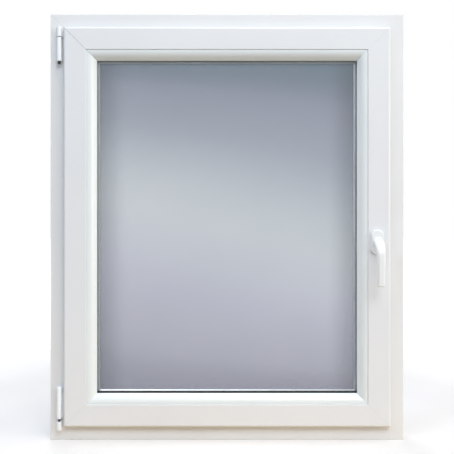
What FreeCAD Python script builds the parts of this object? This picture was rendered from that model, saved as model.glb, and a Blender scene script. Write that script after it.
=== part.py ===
import FreeCAD, Part
import math
import os
import Sketcher

# Tilt and turn window with one sash, seen from the room along +Y.
# X runs to the right, +Y to the outside and Z up; the origin is the middle of the sill's underside.
# Profiles are drawn as (depth, height): depth along Y, height inward from the frame's outer edge,
# so one mitre plane through each outer corner serves the frame, the sash and the beads.

SIZES = {
    "window_width": "1000",
    "window_height": "1205",
    "frame_depth": "70",
    "frame_face": "49",
    "stop_height": "70",
    "stop_thickness": "19",
    "stop_bevel": "6",
    "frame_round": "3",
    "edge_round": "1.5",
    "clip_groove_width": "8",
    "clip_groove_depth": "4",
    "clip_groove_spread": "40",
    "gutter_width": "9",
    "gutter_depth": "4",
    "lip_overlap": "8",
    "lip_gap": "4",
    "lip_thickness": "18",
    "lip_round": "7",
    "chamber": "12",
    "stop_gap": "4",
    "sash_face": "64",
    "gear_groove_width": "16",
    "gear_groove_depth": "4",
    "gear_groove_inset": "5",
    "leg_thickness": "14",
    "leg_cover": "25",
    "leg_bevel": "7",
    "face_round": "1.5",
    "bead_cover": "27",
    "bead_step": "2",
    "bead_flat": "13",
    "bead_nose": "7",
    "bead_curve": "22",
    "bead_nose_round": "2.5",
    "bead_seam": "1",
    "pane_thickness": "4",
    "bead_depth": "22",
    "glass_block": "5",
    "bead_gasket_thickness": "3",
    "outer_gasket_thickness": "4",
    "gasket_seat": "8",
    "gasket_show": "1.5",
    "spacer_show": "3.5",
    "spacer_height": "9",
    "seal_width": "5",
    "seal_inset": "1.5",
    "hinge_inset": "27.5",
    "hinge_standoff": "11",
    "knuckle_diameter": "15",
    "hinge_pin_diameter": "6",
    "hinge_pin_clearance": "0.05",
    "hinge_gap": "2",
    "rim_bevel": "1",
    "foot_inset": "2",
    "bearing_wall": "1",
    "dome_height": "5",
    "dome_step": "3.5",
    "pin_seat": "9",
    "pin_head_rim": "1",
    "stay_knuckle_top_drop": "40",
    "stay_knuckle_length": "27",
    "top_bearing_length": "67",
    "top_pin_tail": "8",
    "leaf_thickness": "2.5",
    "leaf_height": "12",
    "leaf_clearance": "0.5",
    "leaf_end_gap": "2",
    "bottom_bearing_base": "30",
    "bottom_bearing_length": "25",
    "bottom_pin_show": "8",
    "sleeve_length": "90",
    "sleeve_leaf_height": "70",
    "handle_inset": "80.5",
    "handle_height": "560",
    "rosette_width": "34",
    "rosette_height": "68",
    "rosette_thickness": "11",
    "rosette_corner": "14",
    "rosette_rim": "2.6",
    "handle_clearance": "0.3",
    "neck_base": "30",
    "neck_foot": "2",
    "neck_flare": "4",
    "neck_width": "30",
    "lever_projection": "40",
    "elbow_radius": "37",
    "lever_reach": "120",
    "grip_width": "22.5",
    "grip_thickness": "14.5",
    "grip_thinning": "1.1",
    "tip_length": "2.5",
    "drain_spread": "560",
    "drain_height": "20",
    "drain_cap_width": "42",
    "drain_cap_height": "14",
    "drain_cap_thickness": "5",
    "drain_cap_corner": "3",
    "drain_hood": "3.5",
}

doc = FreeCAD.newDocument("tilt_and_turn_window")
sheet = doc.addObject("Spreadsheet::Sheet", "sizes")
for row, (alias, text) in enumerate(SIZES.items(), start=1):
    sheet.set(f"A{row}", alias)
    sheet.set(f"B{row}", text)
    sheet.setAlias(f"B{row}", alias)
doc.recompute()


class Size:
    """A length: its value now and the sheet formula that keeps it in step."""

    def __init__(self, value, formula):
        self.value = float(value)
        self.formula = formula

    def __add__(self, other):
        other = as_size(other)
        return Size(self.value + other.value, f"({self.formula} + {other.formula})")

    def __sub__(self, other):
        other = as_size(other)
        return Size(self.value - other.value, f"({self.formula} - {other.formula})")

    def __mul__(self, factor):
        return Size(self.value * factor, f"({self.formula} * {factor})")

    def __truediv__(self, divisor):
        return Size(self.value / divisor, f"({self.formula} / {divisor})")

    def __neg__(self):
        return Size(-self.value, f"(0 - {self.formula})")


def as_size(number):
    return number if isinstance(number, Size) else Size(number, str(number))


def size(alias):
    return Size(sheet.get(alias), f"sizes.{alias}")


nodes = []


def make_body(name, x=0, y=0, z=0, turn=0):
    """A named piece with its own frame at (x, y, z), turned about the depth axis."""
    body = doc.addObject("PartDesign::Body", name)
    body.Label = name
    body.Placement = FreeCAD.Placement(FreeCAD.Vector(), FreeCAD.Rotation(FreeCAD.Vector(0, 1, 0), turn))
    for axis, place in zip("xyz", (x, y, z)):
        body.setExpression(f".Placement.Base.{axis}", as_size(place).formula)
    nodes.append(body)
    return body


def add_loop(sketch, corners):
    """A closed outline through corners (across, up) or (across, up, radius), held by the sheet."""
    points = [FreeCAD.Vector(as_size(c[0]).value, as_size(c[1]).value, 0) for c in corners]
    radii = [as_size(c[2]) if len(c) > 2 else None for c in corners]
    count = len(points)
    starts = list(points)
    ends = list(points)
    arcs = {}
    for i, radius in enumerate(radii):
        if radius is None:
            continue
        back = (points[i - 1] - points[i]).normalize()
        ahead = (points[(i + 1) % count] - points[i]).normalize()
        half = back.getAngle(ahead) / 2
        ends[i] = points[i] + back * (radius.value / math.tan(half))
        starts[i] = points[i] + ahead * (radius.value / math.tan(half))
        near = points[i] + (back + ahead).normalize() * (radius.value / math.sin(half) - radius.value)
        arcs[i] = (near, back.cross(ahead).z < 0)
    first = sketch.GeometryCount
    lines = [Part.LineSegment(starts[i], ends[(i + 1) % count]) for i in range(count)]
    sketch.addGeometry(lines, False)
    constraints = []
    for i, (across, up) in enumerate((c[0], c[1]) for c in corners):
        before = first + (i - 1) % count
        after = first + i
        if radii[i] is None:
            constraints.append((Sketcher.Constraint("Coincident", before, 2, after, 1), None))
            held = (after, 1)
        else:
            near, left_turn = arcs[i]
            first_end, last_end = (ends[i], starts[i]) if left_turn else (starts[i], ends[i])
            arc = sketch.addGeometry(Part.Arc(first_end, near, last_end), False)
            corner = sketch.addGeometry(Part.Point(points[i]), True)
            entry, leave = (1, 2) if left_turn else (2, 1)
            constraints.append((Sketcher.Constraint("Tangent", before, 2, arc, entry), None))
            constraints.append((Sketcher.Constraint("Tangent", arc, leave, after, 1), None))
            constraints.append((Sketcher.Constraint("PointOnObject", corner, 1, before), None))
            constraints.append((Sketcher.Constraint("PointOnObject", corner, 1, after), None))
            constraints.append((Sketcher.Constraint("Radius", arc, radii[i].value), radii[i]))
            held = (corner, 1)
        for kind, place in (("DistanceX", as_size(across)), ("DistanceY", as_size(up))):
            constraint = Sketcher.Constraint(kind, -1, 1, held[0], held[1], place.value)
            constraints.append((constraint, place))
    offset = sketch.ConstraintCount
    sketch.addConstraint([c for c, place in constraints])
    for i, (constraint, place) in enumerate(constraints):
        if place is not None:
            sketch.setExpression(f"Constraints[{offset + i}]", place.formula)


def make_sketch(body, plane, loops, lift=0):
    """A sketch of closed loops on one of the piece's own planes, lifted along the plane's normal."""
    sketch = body.newObject("Sketcher::SketchObject", f"{body.Name}_outline")
    support = next(f for f in body.Origin.OriginFeatures if f.Role == f"{plane}_Plane")
    sketch.AttachmentSupport = [(support, "")]
    sketch.MapMode = "FlatFace"
    sketch.setExpression("AttachmentOffset.Base.z", as_size(lift).formula)
    for loop in loops:
        add_loop(sketch, loop)
    return sketch


def pad(body, sketch, length, symmetric=False):
    feature = body.newObject("PartDesign::Pad", f"{body.Name}_pad")
    feature.Profile = sketch
    feature.SideType = "Symmetric" if symmetric else "One side"
    feature.setExpression("Length", as_size(length).formula)
    return feature


def bevel_end(feature, length, angle, axis):
    """Goes on from the end face of a pad, along its axis, with sides that lean in by the angle."""
    doc.recompute()
    faces = feature.Shape.Faces
    last = min(range(len(faces)), key=lambda i: getattr(faces[i].CenterOfMass, axis))
    body = feature.getParentGeoFeatureGroup()
    narrowed = pad(body, (feature, [f"Face{last + 1}"]), length)
    narrowed.TaperAngle = -angle
    return narrowed


def cut_through(body, sketch):
    """Cuts the sketch right through the piece, to both sides of its plane."""
    feature = body.newObject("PartDesign::Pocket", f"{body.Name}_cut")
    feature.Profile = sketch
    feature.SideType = "Symmetric"
    feature.Type = "ThroughAll"
    return feature


def revolve(body, loops):
    """Turns a half section, drawn as (radius, height), about the piece's own upright axis."""
    sketch = make_sketch(body, "XZ", loops)
    feature = body.newObject("PartDesign::Revolution", f"{body.Name}_turned")
    feature.Profile = sketch
    feature.ReferenceAxis = (sketch, ["V_Axis"])
    feature.Angle = 360
    return feature


def rectangle(left, right, low, high, radius=None):
    corners = [(left, low), (right, low), (right, high), (left, high)]
    if radius is None:
        return corners
    return [corner + (radius,) for corner in corners]


width = size("window_width")
height = size("window_height")

# Depths: the frame first, then the sash, then the glass unit between the bead and the outer leg.
outside = size("frame_depth") / 2
room = -outside
stop_room = outside - size("stop_thickness")
lip_back = room - size("lip_gap")
lip_front = lip_back - size("lip_thickness")
sash_out = stop_room - size("stop_gap")
leg_room = sash_out - size("leg_thickness")
bead_front = lip_front + size("bead_step")
bead_back = bead_front + size("bead_depth")
inner_pane_room = bead_back + size("bead_gasket_thickness")
inner_pane_out = inner_pane_room + size("pane_thickness")
outer_pane_out = leg_room - size("outer_gasket_thickness")
outer_pane_in = outer_pane_out - size("pane_thickness")

# Heights, from the frame's outer edge towards the glass.
frame_face = size("frame_face")
lip_edge = frame_face - size("lip_overlap")
sash_edge = frame_face + size("chamber")
glass_floor = lip_edge + size("sash_face")
glass_edge = glass_floor + size("glass_block")
leg_top = glass_floor + size("leg_cover")
bead_top = glass_floor + size("bead_cover")
gasket_top = bead_top + size("gasket_show")
spacer_top = gasket_top + size("spacer_show")

# Where each side's outer edge lies, how its profile is turned, and how long it is.
SIDES = {
    "bottom": (0, 0, 0, width),
    "top": (0, height, 180, width),
    "left": (-(width / 2), height / 2, 90, height),
    "right": (width / 2, height / 2, -90, height),
}


def mitred_rail(name, side, profile):
    """One side of a rectangle: its profile padded along the side and cut at 45 degrees at both ends."""
    x, z, turn, length = SIDES[side]
    body = make_body(name, x, 0, z, turn)
    pad(body, make_sketch(body, "YZ", [profile]), length, symmetric=True)
    reach = bead_top + size("frame_face")
    half = length / 2
    right_end = [(half, 0), (half + reach, 0), (half + reach, reach), (half - reach, reach)]
    left_end = [(-half, 0), (reach - half, reach), (-half - reach, reach), (-half - reach, 0)]
    cut_through(body, make_sketch(body, "XZ", [right_end, left_end]))
    return body


def ring(name, outer, inner, far, near):
    """A rectangular ring between two heights, from depth far (outside) to depth near (room)."""
    body = make_body(name, 0, far, 0)
    across = width / 2
    loops = [
        rectangle(outer - across, across - outer, outer, height - outer),
        rectangle(inner - across, across - inner, inner, height - inner),
    ]
    pad(body, make_sketch(body, "XZ", loops), far - near)
    return body


def pane(name, far, near):
    body = make_body(name, 0, far, 0)
    across = width / 2 - glass_edge
    outline = rectangle(-across, across, glass_edge, height - glass_edge)
    pad(body, make_sketch(body, "XZ", [outline]), far - near)
    return body


# Fixed frame: an L section with a sloped stop, a drained rebate and two clip grooves in its outer edge.
groove_in = (size("clip_groove_spread") - size("clip_groove_width")) / 2
groove_out = (size("clip_groove_spread") + size("clip_groove_width")) / 2
groove_floor = size("clip_groove_depth")
gutter_floor = frame_face - size("gutter_depth")
frame_profile = [
    (room, 0, size("edge_round")),
    (-groove_out, 0),
    (-groove_out, groove_floor),
    (-groove_in, groove_floor),
    (-groove_in, 0),
    (groove_in, 0),
    (groove_in, groove_floor),
    (groove_out, groove_floor),
    (groove_out, 0),
    (outside, 0, size("edge_round")),
    (outside, size("stop_height") - size("stop_bevel"), size("frame_round")),
    (outside - size("stop_bevel"), size("stop_height"), size("frame_round")),
    (stop_room, size("stop_height")),
    (stop_room, gutter_floor),
    (stop_room - size("gutter_width"), gutter_floor),
    (stop_room - size("gutter_width"), frame_face),
    (room, frame_face, size("frame_round")),
]
mitred_rail("frame_sill", "bottom", frame_profile)
mitred_rail("frame_head", "top", frame_profile)
mitred_rail("frame_jamb_hinge_side", "left", frame_profile)
mitred_rail("frame_jamb_handle_side", "right", frame_profile)

# Sash: a Z section with its lip over the frame, a gear groove in its edge and a leg behind the glass.
gear_room = lip_back + size("gear_groove_inset")
gear_far = gear_room + size("gear_groove_width")
gear_floor = sash_edge + size("gear_groove_depth")
sash_profile = [
    (lip_front, lip_edge, size("lip_round")),
    (lip_back, lip_edge, size("face_round")),
    (lip_back, sash_edge),
    (gear_room, sash_edge),
    (gear_room, gear_floor),
    (gear_far, gear_floor),
    (gear_far, sash_edge),
    (sash_out, sash_edge, size("frame_round")),
    (sash_out, leg_top - size("leg_bevel"), size("frame_round")),
    (sash_out - size("leg_bevel"), leg_top, size("frame_round")),
    (leg_room, leg_top),
    (leg_room, glass_floor),
    (lip_front, glass_floor, size("face_round")),
]
mitred_rail("sash_bottom_rail", "bottom", sash_profile)
mitred_rail("sash_top_rail", "top", sash_profile)
mitred_rail("sash_hinge_stile", "left", sash_profile)
mitred_rail("sash_handle_stile", "right", sash_profile)

# Glazing beads: a flat foot, a long convex face and a rounded nose at the glass.
bead_profile = [
    (bead_front + size("bead_seam"), glass_floor),
    (bead_back, glass_floor),
    (bead_back, bead_top),
    (bead_back - size("bead_nose"), bead_top, size("bead_nose_round")),
    (bead_front, glass_floor + size("bead_flat"), size("bead_curve")),
    (bead_front, glass_floor + size("bead_seam")),
]
for side in SIDES:
    mitred_rail(f"glazing_bead_{side}", side, bead_profile)

# Double glazing with its spacer and gaskets.
pane("outer_pane", outer_pane_out, outer_pane_in)
pane("inner_pane", inner_pane_out, inner_pane_room)
ring("spacer_bar", spacer_top - size("spacer_height"), spacer_top, outer_pane_in, inner_pane_out)
ring("bead_gasket", gasket_top - size("gasket_seat"), gasket_top, inner_pane_room, bead_back)
outer_gasket_top = leg_top + size("gasket_show")
ring("outer_glazing_gasket", leg_top - size("gasket_seat"), outer_gasket_top, leg_room, outer_pane_out)

# Seals between the sash and the frame.
seal_low = sash_edge + size("seal_inset")
ring("frame_stop_gasket", seal_low, seal_low + size("seal_width"), stop_room, sash_out)
overlap_low = lip_edge + size("seal_inset")
overlap_high = overlap_low + size("seal_width")
overlap_gasket = ring("overlap_gasket", overlap_low, overlap_high, room, lip_back)

# Hinges on the left: everything turns about one upright line in front of the frame.
hinge_x = size("hinge_inset") - width / 2
hinge_y = room - size("hinge_standoff")
hinge_radius = size("knuckle_diameter") / 2
pin_radius = size("hinge_pin_diameter") / 2
bore_radius = pin_radius + size("hinge_pin_clearance")


def hinge_barrel(name, low, high, bore_low, bore_high, domed=False):
    """A knuckle between two heights, bored between two others, with bevelled rims or a domed top."""
    body = make_body(name, hinge_x, hinge_y, 0)
    bevel = size("rim_bevel")
    rim = [(hinge_radius - bevel, low), (hinge_radius, low + bevel)]
    if domed:
        rim.append((hinge_radius, high - size("dome_height")))
        rim.append((hinge_radius - bevel, high - bevel - bevel))
        rim.append((hinge_radius - size("dome_step"), high))
    else:
        rim.append((hinge_radius, high - bevel))
        rim.append((hinge_radius - bevel, high))
    if bore_low is None:
        section = [(0, low)] + rim + [(bore_radius, high), (bore_radius, bore_high), (0, bore_high)]
    elif bore_high is None:
        section = [(bore_radius, low)] + rim + [(0, high), (0, bore_low), (bore_radius, bore_low)]
    else:
        section = [(bore_radius, low)] + rim + [(bore_radius, high)]
    revolve(body, [section])
    return body


stay_top = height - size("stay_knuckle_top_drop")
stay_low = stay_top - size("stay_knuckle_length")
top_bearing_high = stay_low - size("hinge_gap")
top_bearing_low = top_bearing_high - size("top_bearing_length")
bottom_bearing_low = size("bottom_bearing_base")
bottom_bearing_high = bottom_bearing_low + size("bottom_bearing_length")
sleeve_low = bottom_bearing_high + size("bottom_pin_show")
sleeve_high = sleeve_low + size("sleeve_length")
pin_seat = size("pin_seat")


def frame_foot(body, low, high):
    """The foot that seats a bearing on the frame's face."""
    half = hinge_radius - size("foot_inset")
    wall = bore_radius + size("bearing_wall")
    outline = rectangle(-half, half, wall, size("hinge_standoff"))
    pad(body, make_sketch(body, "XY", [outline], low), high - low)


def gap_leaf(body, low, high):
    """The leaf from a knuckle to the back of the sash lip, through a notch in the overlap gasket."""
    back = lip_back - hinge_y
    front = back + size("leaf_thickness")
    wall = bore_radius + size("bearing_wall")
    reach = sash_edge - size("hinge_inset") - size("leaf_end_gap")
    pad(body, make_sketch(body, "XY", [rectangle(wall, reach, back, front)], low), high - low)
    shank = hinge_radius - size("rim_bevel")
    pad(body, make_sketch(body, "XY", [rectangle(wall, shank, bore_radius, front)], low), high - low)
    edge = -(width / 2)
    slack = size("leaf_clearance")
    notch = rectangle(edge + overlap_low - slack, edge + overlap_high + slack, low - slack, high + slack)
    cut_through(overlap_gasket, make_sketch(overlap_gasket, "XZ", [notch]))


top_bearing = hinge_barrel(
    "top_hinge_bearing", top_bearing_low, top_bearing_high, top_bearing_low, top_bearing_high)
frame_foot(top_bearing, top_bearing_low + size("rim_bevel"), top_bearing_high - size("rim_bevel"))
stay_knuckle = hinge_barrel("stay_knuckle", stay_low, stay_top, stay_top - pin_seat, None)
gap_leaf(stay_knuckle, stay_low + size("rim_bevel"), stay_low + size("rim_bevel") + size("leaf_height"))
top_pin = make_body("top_hinge_pin", hinge_x, hinge_y, 0)
pin_head = pin_radius + size("pin_head_rim")
pin_low = top_bearing_low - size("top_pin_tail")
revolve(top_pin, [[
    (0, pin_low),
    (pin_radius, pin_low),
    (pin_head, pin_low + size("pin_head_rim")),
    (pin_head, top_bearing_low),
    (pin_radius, top_bearing_low),
    (pin_radius, stay_top - pin_seat),
    (0, stay_top - pin_seat),
]])

bottom_bearing = hinge_barrel(
    "bottom_hinge_bearing", bottom_bearing_low, bottom_bearing_high, None, bottom_bearing_low + pin_seat)
frame_foot(bottom_bearing, bottom_bearing_low + size("rim_bevel"), bottom_bearing_high - size("rim_bevel"))
sleeve = hinge_barrel("sash_hinge_sleeve", sleeve_low, sleeve_high, sleeve_high - pin_seat, None, domed=True)
sleeve_leaf_low = sleeve_low + size("rim_bevel")
gap_leaf(sleeve, sleeve_leaf_low, sleeve_leaf_low + size("sleeve_leaf_height"))
bottom_pin = make_body("bottom_hinge_pin", hinge_x, hinge_y, 0)
revolve(bottom_pin, [rectangle(0, pin_radius, bottom_bearing_low + pin_seat, sleeve_high - pin_seat)])

# Handle on the right stile: a rosette and a lever that hangs down when the sash is locked.
handle_x = width / 2 - size("handle_inset")
handle_z = size("handle_height")
rosette = make_body("handle_rosette", handle_x, lip_front, handle_z)
rosette_half = size("rosette_width") / 2
rosette_tall = size("rosette_height") / 2
rosette_outline = rectangle(-rosette_half, rosette_half, -rosette_tall, rosette_tall, size("rosette_corner"))
plate_depth = size("rosette_thickness") - size("rosette_rim")
plate = pad(rosette, make_sketch(rosette, "XZ", [rosette_outline]), plate_depth)
bevel_end(plate, size("rosette_rim"), 40, "y")

lever_y = lip_front - size("rosette_thickness") - size("handle_clearance")
lever = make_body("handle_lever", handle_x, lever_y, handle_z)

# The lever is a round flared foot, an elbow that narrows in short straight steps about a line across it,
# and a grip that thins towards a bevelled tip.
ELBOW_STEPS = 10
elbow = size("elbow_radius")
neck_end = size("lever_projection") - elbow
grip_length = size("lever_reach") - size("tip_length") - elbow


def lever_section(turn):
    """The lever's oval section, turned about the elbow's line: wide at 0, the foot, narrow at 90."""
    narrowing = (size("neck_width") - size("grip_width")) / 2
    half = size("grip_width") / 2 + narrowing * (1 - turn / 90)
    thick = size("grip_thickness") / 2
    outline = rectangle(-half, half, elbow - thick, elbow + thick, thick * 0.94)
    sketch = make_sketch(lever, "XZ", [outline], neck_end)
    sketch.AttachmentOffset = FreeCAD.Placement(
        FreeCAD.Vector(), FreeCAD.Rotation(FreeCAD.Vector(1, 0, 0), turn))
    sketch.setExpression("AttachmentOffset.Base.y", (-elbow).formula)
    return sketch


base_half = size("neck_base") / 2
base = rectangle(-base_half, base_half, -base_half, base_half, base_half * 0.97)
foot = pad(lever, make_sketch(lever, "XZ", [base]), size("neck_foot"))
bevel_end(foot, size("neck_flare"), 35, "y")
sections = [lever_section(90 * step / ELBOW_STEPS) for step in range(ELBOW_STEPS + 1)]
arm = lever.newObject("PartDesign::AdditiveLoft", "lever_elbow")
arm.Profile = sections[0]
arm.Sections = sections[1:]
arm.Ruled = True
grip = pad(lever, lever_section(90), grip_length)
grip.setExpression("TaperAngle", f"-atan({size('grip_thinning').formula} / {grip_length.formula})")
bevel_end(grip, size("tip_length"), 38, "z")

# Drain caps over the slots in the outside of the sill.
cap_half = size("drain_cap_width") / 2
cap_tall = size("drain_cap_height") / 2
for name, sign in (("drain_cap_left", -0.5), ("drain_cap_right", 0.5)):
    cap_y = outside + size("drain_cap_thickness")
    cap = make_body(name, size("drain_spread") * sign, cap_y, size("drain_height"))
    outline = rectangle(-cap_half, cap_half, -cap_tall, cap_tall, size("drain_cap_corner"))
    pad(cap, make_sketch(cap, "XZ", [outline]), size("drain_cap_thickness"))
    hood = size("drain_hood")
    slope = [(0, cap_tall - hood), (0, cap_tall + hood), (-(hood + hood), cap_tall + hood)]
    cut_through(cap, make_sketch(cap, "YZ", [slope]))

doc.recompute()
for item in doc.Objects:
    if "Invalid" in item.State or "Error" in item.State:
        raise RuntimeError(f"{item.Label} failed: {item.State}")
for node in nodes:
    shape = node.Shape
    lengths = 2 if node is overlap_gasket else 1
    if shape.isNull() or not shape.isValid() or len(shape.Solids) != lengths:
        raise RuntimeError(f"{node.Label} isn't valid, or has {len(shape.Solids)} solids")
os.makedirs("parts", exist_ok=True)
for node in nodes:
    node.Shape.exportStep(f"parts/{node.Label}.step")
    box = node.Shape.BoundBox
    extent = f"{box.XLength:.1f} x {box.YLength:.1f} x {box.ZLength:.1f}"
    print(f"{node.Label}: {extent} mm, {node.Shape.Volume:.0f} mm3")
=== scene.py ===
import math

import bmesh
import bpy
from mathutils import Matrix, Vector


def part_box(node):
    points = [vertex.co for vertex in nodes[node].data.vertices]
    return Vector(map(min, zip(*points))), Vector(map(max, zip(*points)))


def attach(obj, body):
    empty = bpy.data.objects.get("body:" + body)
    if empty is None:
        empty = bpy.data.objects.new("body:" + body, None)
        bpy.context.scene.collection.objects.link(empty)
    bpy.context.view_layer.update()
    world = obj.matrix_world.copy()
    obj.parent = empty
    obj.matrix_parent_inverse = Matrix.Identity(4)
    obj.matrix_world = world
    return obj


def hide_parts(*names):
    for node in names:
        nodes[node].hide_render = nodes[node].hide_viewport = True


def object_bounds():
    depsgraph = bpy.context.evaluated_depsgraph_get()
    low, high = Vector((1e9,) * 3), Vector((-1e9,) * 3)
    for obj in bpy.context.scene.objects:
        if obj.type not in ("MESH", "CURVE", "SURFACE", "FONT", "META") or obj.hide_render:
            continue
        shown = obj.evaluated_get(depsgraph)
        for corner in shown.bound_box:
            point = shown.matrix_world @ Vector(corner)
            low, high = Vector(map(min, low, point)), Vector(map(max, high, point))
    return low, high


# Tilt and turn window of white PVC, seen from the room. The CAD nodes are dressed in their materials;
# the handle, hinges, drain caps and spacer bar get smooth copies, and the bar its row of drying holes.

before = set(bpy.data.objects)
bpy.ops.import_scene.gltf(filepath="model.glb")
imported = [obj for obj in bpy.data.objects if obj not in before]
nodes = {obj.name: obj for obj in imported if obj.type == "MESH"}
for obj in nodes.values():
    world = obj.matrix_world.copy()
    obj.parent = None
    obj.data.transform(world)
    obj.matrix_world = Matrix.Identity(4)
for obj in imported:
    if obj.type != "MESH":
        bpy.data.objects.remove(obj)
cad_low, cad_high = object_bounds()

# The photograph's scale at the frame's room face, and how far the camera stands in front of that face.
PHOTO_PIXELS = 454
MM_PER_PIXEL = 2.833
CAMERA_DISTANCE = 1.8
SENSOR_MM = 36
ROOM_FACE_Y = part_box("frame_head")[0].y
CENTRE_Z = (cad_low.z + cad_high.z) / 2

# Vertices closer than this are one: a CAD mesh is loose triangles.
MERGE_DISTANCE = 0.00002
SHARP_ANGLE = math.radians(30)
BEVEL_SEGMENTS = 2

# Spacer bar: how high it is, how its drying holes are spaced, and how far their dark discs stand off it.
SPACER_HEIGHT_MM = 9
HOLE_PITCH_MM = 6.0
HOLE_RADIUS_MM = 0.6
HOLE_CORNERS = 8
HOLE_STAND_OFF_MM = 0.05
# The film of butyl that seals the bar to each pane.
SEAL_MM = 0.3

# The weld bead that is scraped off flush leaves a line about this wide on every mitre. It is clear up to
# the first share of its width from the mitre plane, and gone at the second.
WELD_WIDTH_MM = 1.4
WELD_CLEAR = 0.35
WELD_GONE = 0.7
# How clear that line is where it is hardly seen; at the upper left corner it is 1.
FAINT_WELD = 0.15

# White plastic: how large its clouds are, and how far its roughness varies either way.
CLOUD_MM = 150
GLOSS_SPREAD = 0.015

# Above its lowest edge the glazing gasket is dark up to the first height, and grey from the second on.
DARK_UP_TO_MM = 12
GREY_FROM_MM = 18

# The marks that turning leaves on steel are about 0.1 mm apart; they are drawn coarser so that they show.
TURNING_MARK_MM = 1.0
# A wave texture of scale 1 runs through this many radians in a metre.
WAVE_RADIANS = 20

# A face looks up, or to the room, when its normal points that way by more than this.
FACING_LIMIT = 0.5

# Where the shade painted on the glass begins towards the sides, and where it is full, in half widths.
EDGE_SHADE_START = 0.72
EDGE_SHADE_FULL = 0.97

# The studio floor's half side and how far its warm bounce reaches, in metres.
FLOOR_HALF = 30
WARM_REACH = 1.7
# To the eye it is lifted towards white, by one strength near the window and another far off, and between
# these distances by what lies between.
LIFT_NEAR = 0.22
LIFT_FAR = 1.0
LIFT_START = 1.0
LIFT_END = 3.5

# Noise hardly leaves this range.
NOISE_LOW = 0.25
NOISE_HIGH = 0.75
BUMP_STRENGTH = 0.4

# The sockets of a colour mix: its two colours and its result.
MIX_A = 6
MIX_B = 7
MIX_RESULT = 2


def linear(hex_colour):
    """An sRGB hex value as a linear colour."""
    channels = [int(hex_colour[i:i + 2], 16) / 255 for i in (1, 3, 5)]
    return [c / 12.92 if c <= 0.04045 else ((c + 0.055) / 1.055) ** 2.4 for c in channels] + [1.0]


def add_node(tree, kind, inputs=None, stops=(), ease="EASE", **settings):
    """Adds a node, sets its properties, and fills each input with a value or a link from a socket. A
    colour ramp also gets its stops, each a position and a hex colour, and how it eases between them."""
    made = tree.nodes.new(kind)
    for name, value in settings.items():
        setattr(made, name, value)
    for name, value in (inputs or {}).items():
        if isinstance(value, bpy.types.NodeSocket):
            tree.links.new(value, made.inputs[name])
        else:
            made.inputs[name].default_value = value
    if stops:
        ramp = made.color_ramp
        ramp.interpolation = ease
        while len(ramp.elements) < len(stops):
            ramp.elements.new(0.5)
        for element, (position, hex_colour) in zip(ramp.elements, stops):
            element.position = position
            element.color = linear(hex_colour)
    return made


def new_material(name):
    """An empty node material, its tree and the Object coordinates that its patterns follow."""
    material = bpy.data.materials.new(name)
    material.use_nodes = True
    tree = material.node_tree
    tree.nodes.clear()
    place = add_node(tree, "ShaderNodeTexCoord").outputs["Object"]
    return material, tree, place


def weld_line(tree, place):
    """1 on the mitre planes, where the rails are welded together, and 0 a little beside them."""
    split = add_node(tree, "ShaderNodeSeparateXYZ", {"Vector": place}).outputs
    away = add_node(tree, "ShaderNodeMath", {0: split["X"]}, operation="ABSOLUTE").outputs[0]
    across = add_node(tree, "ShaderNodeMath", {0: cad_high.x, 1: away}, operation="SUBTRACT").outputs[0]
    drop = add_node(tree, "ShaderNodeMath", {0: cad_high.z, 1: split["Z"]}, operation="SUBTRACT").outputs[0]
    up = add_node(tree, "ShaderNodeMath", {0: split["Z"], 1: drop}, operation="MINIMUM").outputs[0]
    off = add_node(tree, "ShaderNodeMath", {0: across, 1: up}, operation="SUBTRACT").outputs[0]
    gap = add_node(tree, "ShaderNodeMath", {0: off}, operation="ABSOLUTE").outputs[0]
    # The photo shows the weld at the upper left clearly and hardly anything of the other three.
    corner = add_node(tree, "ShaderNodeMath", {
        0: split["Z"], 1: split["X"]}, operation="SUBTRACT").outputs[0]
    clear = add_node(tree, "ShaderNodeMapRange", {
        "Value": corner, "From Min": cad_high.z - cad_high.x, "From Max": cad_high.z - cad_low.x,
        "To Min": FAINT_WELD, "To Max": 1.0}).outputs["Result"]
    width = WELD_WIDTH_MM / 1000
    return add_node(tree, "ShaderNodeMapRange", {
        "Value": gap, "From Min": width * WELD_CLEAR, "From Max": width * WELD_GONE,
        "To Min": clear, "To Max": 0.0}).outputs["Result"]


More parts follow.
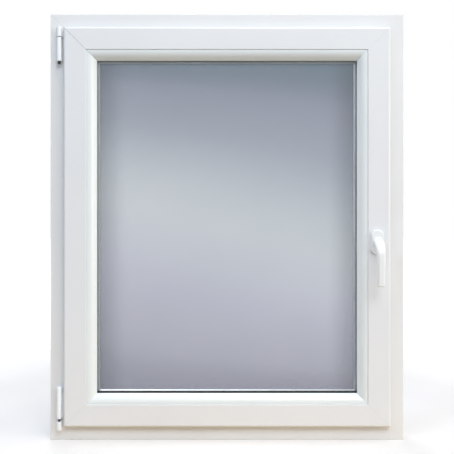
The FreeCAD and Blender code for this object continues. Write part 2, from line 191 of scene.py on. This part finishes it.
def smooth_plastic(name, light_hex, dark_hex, roughness, peel_mm, peel_depth_mm, weld_hex=None):
    """White plastic or paint: nearly even colour, a soft gloss and a faint orange peel."""
    material, tree, place = new_material(name)
    # Batches and wiping leave a faint cloudiness, just enough to keep large faces alive.
    cloud = add_node(tree, "ShaderNodeTexNoise", {
        "Vector": place, "Scale": 1000 / CLOUD_MM, "Detail": 1.0}).outputs["Fac"]
    tint = add_node(tree, "ShaderNodeValToRGB", {"Fac": cloud}, [
        (NOISE_LOW, dark_hex), (NOISE_HIGH, light_hex)]).outputs["Color"]
    if weld_hex:
        weld = add_node(tree, "ShaderNodeValToRGB", {"Fac": weld_line(tree, place)}, [
            (0.0, "#ffffff"), (1.0, weld_hex)], "LINEAR").outputs["Color"]
        tint = add_node(tree, "ShaderNodeMix", {
            "Factor": 1.0, MIX_A: tint, MIX_B: weld},
            data_type="RGBA", blend_type="MULTIPLY").outputs[MIX_RESULT]
    gloss = add_node(tree, "ShaderNodeMapRange", {
        "Value": cloud, "From Min": NOISE_LOW, "From Max": NOISE_HIGH,
        "To Min": roughness - GLOSS_SPREAD, "To Max": roughness + GLOSS_SPREAD}).outputs["Result"]
    peel = add_node(tree, "ShaderNodeTexNoise", {
        "Vector": place, "Scale": 1000 / peel_mm, "Detail": 2.0}).outputs["Fac"]
    relief = add_node(tree, "ShaderNodeBump", {
        "Height": peel, "Strength": BUMP_STRENGTH, "Distance": peel_depth_mm / 1000}).outputs["Normal"]
    shader = add_node(tree, "ShaderNodeBsdfPrincipled", {
        "Base Color": tint, "Roughness": gloss, "IOR": 1.53, "Normal": relief})
    add_node(tree, "ShaderNodeOutputMaterial", {"Surface": shader.outputs["BSDF"]})
    return material


def rubber_gasket():
    """Extruded thermoplastic rubber: grey and matt, a quiet line round the glass, and nearly black along
    its foot."""
    material, tree, place = new_material("extruded_gasket_rubber")
    # Dust and talc lie on it in patches of about 8 mm.
    dust = add_node(tree, "ShaderNodeTexNoise", {
        "Vector": place, "Scale": 1000 / 8, "Detail": 4.0}).outputs["Fac"]
    grey_runs = add_node(tree, "ShaderNodeValToRGB", {"Fac": dust}, [
        (0.35, "#747980"), (0.75, "#848990")]).outputs["Color"]
    # The bottom run is nearly black, to just above its own height.
    dark_bottom_run = add_node(tree, "ShaderNodeValToRGB", {"Fac": dust}, [
        (0.35, "#121416"), (0.75, "#1d1f22")]).outputs["Color"]
    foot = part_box("bead_gasket")[0].z
    height = add_node(tree, "ShaderNodeSeparateXYZ", {"Vector": place}).outputs["Z"]
    above = add_node(tree, "ShaderNodeMapRange", {
        "Value": height, "From Min": foot + DARK_UP_TO_MM / 1000,
        "From Max": foot + GREY_FROM_MM / 1000}).outputs["Result"]
    tint = add_node(tree, "ShaderNodeMix", {
        "Factor": above, MIX_A: dark_bottom_run, MIX_B: grey_runs}, data_type="RGBA").outputs[MIX_RESULT]
    # Dusty patches are the most matt.
    gloss = add_node(tree, "ShaderNodeMapRange", {
        "Value": dust, "From Min": NOISE_LOW, "From Max": NOISE_HIGH,
        "To Min": 0.78, "To Max": 0.92}).outputs["Result"]
    # The die leaves a skin with a grain of about 0.5 mm, up to 0.04 mm deep.
    skin = add_node(tree, "ShaderNodeTexNoise", {
        "Vector": place, "Scale": 1000 / 0.5, "Detail": 2.0}).outputs["Fac"]
    relief = add_node(tree, "ShaderNodeBump", {
        "Height": skin, "Strength": BUMP_STRENGTH, "Distance": 0.04 / 1000}).outputs["Normal"]
    shader = add_node(tree, "ShaderNodeBsdfPrincipled", {
        "Base Color": tint, "Roughness": gloss, "IOR": 1.5, "Specular IOR Level": 0.15, "Normal": relief})
    add_node(tree, "ShaderNodeOutputMaterial", {"Surface": shader.outputs["BSDF"]})
    return material


def spacer_aluminium():
    """Roll-formed aluminium with a satin skin: a dull grey, with a painted highlight on the faces that look
    up.
    """
    material, tree, place = new_material("rolled_spacer_aluminium")
    # The rolling grain is about 0.3 mm wide; it is drawn as 3.3 mm so that it shows.
    rolled = add_node(tree, "ShaderNodeTexNoise", {
        "Vector": place, "Scale": 1000 / 3.3, "Detail": 2.0}).outputs["Fac"]
    bare = add_node(tree, "ShaderNodeValToRGB", {"Fac": rolled}, [
        (0.3, "#a2a5aa"), (0.7, "#b2b5ba")]).outputs["Color"]
    # Painted highlight: the faces that look up are painted paler, as if lit from above.
    painted_highlight = add_node(tree, "ShaderNodeValToRGB", {"Fac": rolled}, [
        (0.3, "#d8dde2"), (0.7, "#e4e9ee")]).outputs["Color"]
    normal = add_node(tree, "ShaderNodeTexCoord").outputs["Normal"]
    facing = add_node(tree, "ShaderNodeSeparateXYZ", {"Vector": normal}).outputs
    upward = add_node(tree, "ShaderNodeMath", {
        0: facing["Z"], 1: FACING_LIMIT}, operation="GREATER_THAN").outputs[0]
    metal_and_highlight = add_node(tree, "ShaderNodeMix", {
        "Factor": upward, MIX_A: bare, MIX_B: painted_highlight}, data_type="RGBA").outputs[MIX_RESULT]
    # The black seal between bar and pane is squeezed out over the room side of the bottom run only.
    front = add_node(tree, "ShaderNodeMath", {
        0: facing["Y"], 1: -FACING_LIMIT}, operation="LESS_THAN").outputs[0]
    height = add_node(tree, "ShaderNodeSeparateXYZ", {"Vector": place}).outputs["Z"]
    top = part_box("spacer_bar")[0].z + SPACER_HEIGHT_MM / 1000
    foot = add_node(tree, "ShaderNodeMath", {0: height, 1: top}, operation="LESS_THAN").outputs[0]
    seal = add_node(tree, "ShaderNodeMath", {0: front, 1: foot}, operation="MULTIPLY").outputs[0]
    tint = add_node(tree, "ShaderNodeMix", {
        "Factor": seal, MIX_A: metal_and_highlight, MIX_B: linear("#121315")}, data_type="RGBA").outputs[MIX_RESULT]
    metallic = add_node(tree, "ShaderNodeMapRange", {
        "Value": seal, "To Min": 0.8, "To Max": 0.0}).outputs["Result"]
    gloss = add_node(tree, "ShaderNodeMapRange", {
        "Value": rolled, "From Min": NOISE_LOW, "From Max": NOISE_HIGH,
        "To Min": 0.4, "To Max": 0.5}).outputs["Result"]
    shader = add_node(tree, "ShaderNodeBsdfPrincipled", {
        "Base Color": tint, "Metallic": metallic, "Roughness": gloss})
    add_node(tree, "ShaderNodeOutputMaterial", {"Surface": shader.outputs["BSDF"]})
    return material


def punched_shadow():
    """The inside of a punched hole: matt and nearly black, with the drying grains behind it."""
    material, tree, place = new_material("punched_hole_shadow")
    # Drying grains are about 1 mm across.
    grains = add_node(tree, "ShaderNodeTexNoise", {
        "Vector": place, "Scale": 1000, "Detail": 1.0}).outputs["Fac"]
    tint = add_node(tree, "ShaderNodeValToRGB", {"Fac": grains}, [
        (0.3, "#1c1d1f"), (0.7, "#303236")]).outputs["Color"]
    shader = add_node(tree, "ShaderNodeBsdfPrincipled", {"Base Color": tint, "Roughness": 0.8, "IOR": 1.5})
    add_node(tree, "ShaderNodeOutputMaterial", {"Surface": shader.outputs["BSDF"]})
    return material


def dark_steel():
    """Turned and blackened steel of the hinge pins: near-black metal, its soft shine broken into rings."""
    material, tree, place = new_material("blackened_turned_steel")
    # The blackening is mottled, in patches of about 2.5 mm.
    mottle = add_node(tree, "ShaderNodeTexNoise", {
        "Vector": place, "Scale": 1000 / 2.5, "Detail": 3.0}).outputs["Fac"]
    tint = add_node(tree, "ShaderNodeValToRGB", {"Fac": mottle}, [
        (0.3, "#33353a"), (0.7, "#4b4e53")]).outputs["Color"]
    gloss = add_node(tree, "ShaderNodeMapRange", {
        "Value": mottle, "From Min": NOISE_LOW, "From Max": NOISE_HIGH,
        "To Min": 0.36, "To Max": 0.44}).outputs["Result"]
    # The rings are up to 0.06 mm deep.
    rings = add_node(tree, "ShaderNodeTexWave", {
        "Vector": place, "Scale": math.tau / WAVE_RADIANS * 1000 / TURNING_MARK_MM, "Distortion": 0.5},
        bands_direction="Z").outputs["Fac"]
    relief = add_node(tree, "ShaderNodeBump", {
        "Height": rings, "Strength": BUMP_STRENGTH, "Distance": 0.06 / 1000}).outputs["Normal"]
    shader = add_node(tree, "ShaderNodeBsdfPrincipled", {
        "Base Color": tint, "Metallic": 1.0, "Roughness": gloss, "Normal": relief})
    add_node(tree, "ShaderNodeOutputMaterial", {"Surface": shader.outputs["BSDF"]})
    return material


def clear_glass():
    """Clear float glass: almost colourless, with sharp reflections."""
    material, tree, place = new_material("clear_float_glass")
    # Float glass has long faint waves, about a third of a metre across.
    waves = add_node(tree, "ShaderNodeTexNoise", {
        "Vector": place, "Scale": 1000 / 333, "Detail": 1.0}).outputs["Fac"]
    tint = add_node(tree, "ShaderNodeValToRGB", {"Fac": waves}, [
        (0.3, "#f4f8f7"), (0.7, "#f8fbfa")]).outputs["Color"]
    shader = add_node(tree, "ShaderNodeBsdfPrincipled", {
        "Base Color": tint, "Roughness": 0.0, "IOR": 1.5, "Transmission Weight": 1.0})
    add_node(tree, "ShaderNodeOutputMaterial", {"Surface": shader.outputs["BSDF"]})
    return material


def glass_with_painted_reflection():
    """Grey-blue float glass with a painted reflection, lightest in a band across its middle, and painted
    shade towards all edges."""
    material, tree, place = new_material("grey_blue_glass_painted_reflection")
    split = add_node(tree, "ShaderNodeSeparateXYZ", {"Vector": place}).outputs
    low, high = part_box("outer_pane")
    rise = add_node(tree, "ShaderNodeMapRange", {
        "Value": split["Z"], "From Min": low.z, "From Max": high.z}).outputs["Result"]
    # The painted light band runs down slightly to the right; the tilt fades out towards the top and bottom
    # edges.
    rest = add_node(tree, "ShaderNodeMath", {0: 1.0, 1: rise}, operation="SUBTRACT").outputs[0]
    middle = add_node(tree, "ShaderNodeMath", {0: rise, 1: rest}, operation="MULTIPLY").outputs[0]
    tilt = add_node(tree, "ShaderNodeMath", {0: middle, 1: split["X"]}, operation="MULTIPLY").outputs[0]
    reflection_band = add_node(tree, "ShaderNodeMath", {0: tilt, 1: rise}, operation="ADD").outputs[0]
    # Painted reflection: lightest in a band across the middle, darker towards the top and bottom.
    body = add_node(tree, "ShaderNodeValToRGB", {"Fac": reflection_band}, [
        (0.03, "#8b8a9b"), (0.11, "#a3a2b1"), (0.29, "#b7b7c6"), (0.52, "#c2c6ce"),
        (0.72, "#a3a9b6"), (0.90, "#848a9c"), (0.97, "#637384")], "CARDINAL").outputs["Color"]
    # Painted shade, deepening towards the left and right edges.
    away = add_node(tree, "ShaderNodeMath", {0: split["X"]}, operation="ABSOLUTE").outputs[0]
    side = add_node(tree, "ShaderNodeMapRange", {
        "Value": away, "From Min": high.x * EDGE_SHADE_START, "From Max": high.x * EDGE_SHADE_FULL},
        interpolation_type="SMOOTHSTEP").outputs["Result"]
    edge = add_node(tree, "ShaderNodeValToRGB", {"Fac": side}, [
        (0.0, "#ffffff"), (1.0, "#c4c6c9")], "LINEAR").outputs["Color"]
    tint_and_painted_light = add_node(tree, "ShaderNodeMix", {
        "Factor": 1.0, MIX_A: body, MIX_B: edge},
        data_type="RGBA", blend_type="MULTIPLY").outputs[MIX_RESULT]
    shader = add_node(tree, "ShaderNodeBsdfPrincipled", {
        "Base Color": tint_and_painted_light, "Roughness": 0.0, "IOR": 1.5, "Transmission Weight": 1.0})
    add_node(tree, "ShaderNodeOutputMaterial", {"Surface": shader.outputs["BSDF"]})
    return material


def dress(material, *names):
    """Gives CAD nodes a material."""
    for name in names:
        for slot in nodes[name].material_slots:
            slot.link = "OBJECT"
            slot.material = material


def smooth_copy(node, body, material, round_mm, stand_off_mm=0.0):
    """A joined copy of a CAD node, smooth over its gentle steps, rounded at its sharp edges and, where
    it touches a pane, thinner by stand_off_mm on both sides."""
    middle = sum(corner.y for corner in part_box(node)) / 2
    mesh = nodes[node].data.copy()
    mesh.name = f"smooth_{node}"
    # The normals that came with the loose triangles no longer fit once they are joined.
    mesh.attributes.remove(mesh.attributes["custom_normal"])
    shape = bmesh.new()
    shape.from_mesh(mesh)
    bmesh.ops.remove_doubles(shape, verts=shape.verts, dist=MERGE_DISTANCE)
    for vertex in shape.verts:
        vertex.co.y -= math.copysign(stand_off_mm / 1000, vertex.co.y - middle)
    for face in shape.faces:
        face.smooth = True
    for edge in shape.edges:
        edge.smooth = edge.calc_face_angle(0.0) < SHARP_ANGLE
    shape.to_mesh(mesh)
    shape.free()
    mesh.materials.clear()
    mesh.materials.append(material)
    piece = bpy.data.objects.new(mesh.name, mesh)
    bpy.context.scene.collection.objects.link(piece)
    bevel = piece.modifiers.new("round_edges", "BEVEL")
    bevel.width = round_mm / 1000
    bevel.segments = BEVEL_SEGMENTS
    bevel.limit_method = "ANGLE"
    bevel.angle_limit = SHARP_ANGLE
    bevel.harden_normals = True
    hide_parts(node)
    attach(piece, body)


def drying_hole_tree():
    """Dark discs at an even pitch round an upright rectangle, each facing its inside."""
    tree = bpy.data.node_groups.new("drying_holes", "GeometryNodeTree")
    tree.interface.new_socket("Holes", in_out="OUTPUT", socket_type="NodeSocketGeometry")
    for name in ("Pitch", "Radius", "Width", "Height"):
        tree.interface.new_socket(name, in_out="INPUT", socket_type="NodeSocketFloat")
    tree.interface.new_socket("Middle", in_out="INPUT", socket_type="NodeSocketVector")
    given = add_node(tree, "NodeGroupInput").outputs
    path = add_node(tree, "GeometryNodeCurvePrimitiveQuadrilateral", {
        "Width": given["Width"], "Height": given["Height"]})
    upright = add_node(tree, "GeometryNodeTransform", {
        "Geometry": path.outputs["Curve"], "Rotation": (math.radians(90), 0, 0),
        "Translation": given["Middle"]})
    row = add_node(tree, "GeometryNodeResampleCurve", {
        "Curve": upright.outputs["Geometry"], "Length": given["Pitch"]}, mode="LENGTH")
    along = add_node(tree, "GeometryNodeInputTangent").outputs["Tangent"]
    inward = add_node(tree, "ShaderNodeVectorMath", {0: (0, 1, 0), 1: along}, operation="CROSS_PRODUCT")
    turn = add_node(tree, "FunctionNodeAlignRotationToVector", {
        "Vector": inward.outputs["Vector"]}, axis="Z")
    disc = add_node(tree, "GeometryNodeMeshCircle", {
        "Vertices": HOLE_CORNERS, "Radius": given["Radius"]}, fill_type="NGON")
    holes = add_node(tree, "GeometryNodeInstanceOnPoints", {
        "Points": row.outputs["Curve"], "Instance": disc.outputs["Mesh"],
        "Rotation": turn.outputs["Rotation"]})
    real = add_node(tree, "GeometryNodeRealizeInstances", {"Geometry": holes.outputs["Instances"]})
    dark = add_node(tree, "GeometryNodeSetMaterial", {
        "Geometry": real.outputs["Geometry"], "Material": punched_shadow()})
    add_node(tree, "NodeGroupOutput", {"Holes": dark.outputs["Geometry"]})
    return tree


def drying_holes():
    """The row of drying holes punched along the inner faces of the spacer bar."""
    low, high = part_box("spacer_bar")
    inset = 2 * (SPACER_HEIGHT_MM + HOLE_STAND_OFF_MM) / 1000
    tree = drying_hole_tree()
    sizes = {
        "Pitch": HOLE_PITCH_MM / 1000,
        "Radius": HOLE_RADIUS_MM / 1000,
        "Width": high.x - low.x - inset,
        "Height": high.z - low.z - inset,
        "Middle": tuple((low + high) / 2),
    }
    piece = bpy.data.objects.new("drying_hole_row", bpy.data.meshes.new("drying_hole_path"))
    bpy.context.scene.collection.objects.link(piece)
    modifier = piece.modifiers.new("drying_holes", "NODES")
    modifier.node_group = tree
    for socket in tree.interface.items_tree:
        if socket.in_out == "INPUT":
            modifier[socket.identifier] = sizes[socket.name]
    graph = bpy.context.evaluated_depsgraph_get()
    mesh = bpy.data.meshes.new_from_object(piece.evaluated_get(graph))
    piece.modifiers.remove(modifier)
    piece.data = mesh
    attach(piece, "window")


def seen_by(tree, *rays):
    """1 for the named kinds of rays, and 0 for the rest."""
    path = add_node(tree, "ShaderNodeLightPath").outputs
    total = path[rays[0]]
    for ray in rays[1:]:
        total = add_node(tree, "ShaderNodeMath", {0: total, 1: path[ray]}, operation="MAXIMUM").outputs[0]
    return total


def studio_floor():
    """A pale floor: white to the eye, with the window's soft shadow, and a faintly warm bounce."""
    material, tree, place = new_material("pale_studio_floor")
    far = add_node(tree, "ShaderNodeVectorMath", {0: place}, operation="LENGTH").outputs["Value"]
    # The bounce is warm and stronger close to the window's foot, and weak further off.
    reach = add_node(tree, "ShaderNodeMapRange", {
        "Value": far, "From Min": 0.0, "From Max": WARM_REACH}).outputs["Result"]
    warm = add_node(tree, "ShaderNodeValToRGB", {"Fac": reach}, [
        (0.1, "#cdb083"), (0.4, "#d2b892"), (1.0, "#938878")]).outputs["Color"]
    bounce = add_node(tree, "ShaderNodeBsdfDiffuse", {"Color": warm}).outputs["BSDF"]
    # To the eye it is neutral, in faint patches of about half a metre. Far from the lamps it is dimmer, so
    # there it is lifted more.
    patches = add_node(tree, "ShaderNodeTexNoise", {
        "Vector": place, "Scale": 1000 / 500, "Detail": 2.0}).outputs["Fac"]
    pale = add_node(tree, "ShaderNodeValToRGB", {"Fac": patches}, [
        (0.3, "#dadada"), (0.7, "#dedede")]).outputs["Color"]
    matt = add_node(tree, "ShaderNodeBsdfDiffuse", {"Color": pale}).outputs["BSDF"]
    level = add_node(tree, "ShaderNodeMapRange", {
        "Value": far, "From Min": LIFT_START, "From Max": LIFT_END,
        "To Min": LIFT_NEAR, "To Max": LIFT_FAR}).outputs["Result"]
    lift = add_node(tree, "ShaderNodeEmission", {"Color": linear("#ffffff"), "Strength": level})
    lifted = add_node(tree, "ShaderNodeAddShader", {0: matt, 1: lift.outputs["Emission"]}).outputs["Shader"]
    white = add_node(tree, "ShaderNodeEmission", {"Color": linear("#ffffff"), "Strength": 1.0})
    by_eye = add_node(tree, "ShaderNodeMixShader", {
        "Fac": seen_by(tree, "Is Camera Ray"), 1: bounce, 2: lifted}).outputs["Shader"]
    by_glass = add_node(tree, "ShaderNodeMixShader", {
        "Fac": seen_by(tree, "Is Glossy Ray", "Is Transmission Ray"),
        1: by_eye, 2: white.outputs["Emission"]})
    add_node(tree, "ShaderNodeOutputMaterial", {"Surface": by_glass.outputs["Shader"]})
    mesh = bpy.data.meshes.new("studio_floor")
    corners = [(x * FLOOR_HALF, y * FLOOR_HALF, 0) for x, y in ((-1, -1), (1, -1), (1, 1), (-1, 1))]
    mesh.from_pydata(corners, [], [(0, 1, 2, 3)])
    mesh.materials.append(material)
    floor = bpy.data.objects.new("studio_floor", mesh)
    bpy.context.scene.collection.objects.link(floor)


def studio_world(ambient, hex_colour):
    """White behind the window for the eye, mirrors and glass; a softer, cooler light on its surfaces."""
    world = bpy.data.worlds.new("studio_world")
    world.use_nodes = True
    tree = world.node_tree
    tree.nodes.clear()
    soft = add_node(tree, "ShaderNodeBackground", {"Color": linear(hex_colour), "Strength": ambient})
    white = add_node(tree, "ShaderNodeBackground", {"Color": linear("#ffffff"), "Strength": 1.0})
    mix = add_node(tree, "ShaderNodeMixShader", {
        "Fac": seen_by(tree, "Is Camera Ray", "Is Glossy Ray", "Is Transmission Ray"),
        1: soft.outputs["Background"], 2: white.outputs["Background"]})
    add_node(tree, "ShaderNodeOutputWorld", {"Surface": mix.outputs["Shader"]})
    bpy.context.scene.world = world


def soft_lamp(name, place, width, height, watts, hex_colour):
    """A large area lamp at place, turned to the middle of the window. It isn't seen through the panes."""
    data = bpy.data.lights.new(name, "AREA")
    data.shape = "RECTANGLE"
    data.size = width
    data.size_y = height
    data.energy = watts
    data.color = linear(hex_colour)[:3]
    lamp = bpy.data.objects.new(name, data)
    lamp.location = place
    lamp.rotation_euler = (Vector((0, 0, CENTRE_Z)) - Vector(place)).to_track_quat("-Z", "Y").to_euler()
    lamp.visible_transmission = False
    bpy.context.scene.collection.objects.link(lamp)


frame_rails = ["frame_head", "frame_sill", "frame_jamb_hinge_side", "frame_jamb_handle_side"]
sash_rails = ["sash_top_rail", "sash_bottom_rail", "sash_hinge_stile", "sash_handle_stile"]
beads = [name for name in nodes if name.startswith("glazing_bead")]
gaskets = [name for name in nodes if name.endswith("gasket")]
covers = ["top_hinge_bearing", "stay_knuckle", "bottom_hinge_bearing", "sash_hinge_sleeve"]
caps = ["drain_cap_left", "drain_cap_right"]
pins = ["top_hinge_pin", "bottom_hinge_pin"]

# Extruded PVC: a cool white with an even satin gloss. The frame's welds are scraped nearly invisible; the
# sash's show as fine grey lines, and the beads are cut and butted, so their mitres are open seams.
frame_pvc = smooth_plastic(
    "white_frame_pvc", "#e9edf0", "#e7ebee",
    roughness=0.3, peel_mm=2.0, peel_depth_mm=0.012, weld_hex="#edeff1")
dress(frame_pvc, *frame_rails)
sash_pvc = smooth_plastic(
    "white_sash_pvc", "#e8edf2", "#e6ebf0",
    roughness=0.3, peel_mm=2.0, peel_depth_mm=0.012, weld_hex="#a4a8ad")
dress(sash_pvc, *sash_rails)
bead_pvc = smooth_plastic(
    "white_bead_pvc", "#e6eff3", "#e4edf1",
    roughness=0.3, peel_mm=2.0, peel_depth_mm=0.004, weld_hex="#b4b8bc")
dress(bead_pvc, *beads)
# Injection-moulded covers: a little whiter and less glossy than the profiles.
moulded_cover = smooth_plastic(
    "white_moulded_cover", "#f3f9fe", "#f0f6fb", roughness=0.34, peel_mm=1.2, peel_depth_mm=0.03)
for cover in covers + caps:
    smooth_copy(cover, "window", moulded_cover, round_mm=0.4)
# Powder coat on cast metal: the orange peel of melted powder breaks up its highlights.
powder_coat = smooth_plastic(
    "white_powder_coat", "#eef3f6", "#ebf0f3", roughness=0.36, peel_mm=1.0, peel_depth_mm=0.05)
smooth_copy("handle_lever", "handle", powder_coat, round_mm=0.8)
smooth_copy("handle_rosette", "window", powder_coat, round_mm=0.6)
dress(rubber_gasket(), *gaskets)
smooth_copy("spacer_bar", "window", spacer_aluminium(), round_mm=0.3, stand_off_mm=SEAL_MM)
drying_holes()
dress(dark_steel(), *pins)
dress(clear_glass(), "inner_pane")
dress(glass_with_painted_reflection(), "outer_pane")
# Light reaches the spacer and the gaskets through the panes.
nodes["inner_pane"].visible_shadow = False
nodes["outer_pane"].visible_shadow = False

studio_floor()
studio_world(ambient=0.29, hex_colour="#d8e5ff")
# A large lamp high in front gives most of the light, a warm one above whitens the ledges, two fill the
# sides, cool on the left, and one stands behind for the outside.
soft_lamp("overhead_softbox", (2.0, -6.4, 6.6), width=5.0, height=3.6, watts=358, hex_colour="#ffffff")
soft_lamp("top_softbox", (0.5, -0.9, 4.4), width=3.0, height=1.2, watts=53, hex_colour="#ffecd0")
soft_lamp("right_fill", (5.6, -3.2, 1.6), width=2.6, height=3.0, watts=146, hex_colour="#fffaf4")
soft_lamp("left_fill", (-4.4, -4.2, 4.2), width=2.0, height=2.0, watts=100, hex_colour="#cde6ff")
soft_lamp("rear_softbox", (-2.0, 6.6, 2.9), width=4.0, height=3.0, watts=310, hex_colour="#ffffff")

camera_data = bpy.data.cameras.new("camera")
camera_data.sensor_width = SENSOR_MM
camera_data.lens = SENSOR_MM * CAMERA_DISTANCE / (PHOTO_PIXELS * MM_PER_PIXEL / 1000)
camera = bpy.data.objects.new("camera", camera_data)
camera.location = (0, ROOM_FACE_Y - CAMERA_DISTANCE, CENTRE_Z)
camera.rotation_euler = (math.radians(90), 0, 0)
bpy.context.scene.collection.objects.link(camera)
bpy.context.scene.camera = camera
bpy.context.scene.view_settings.view_transform = "Standard"
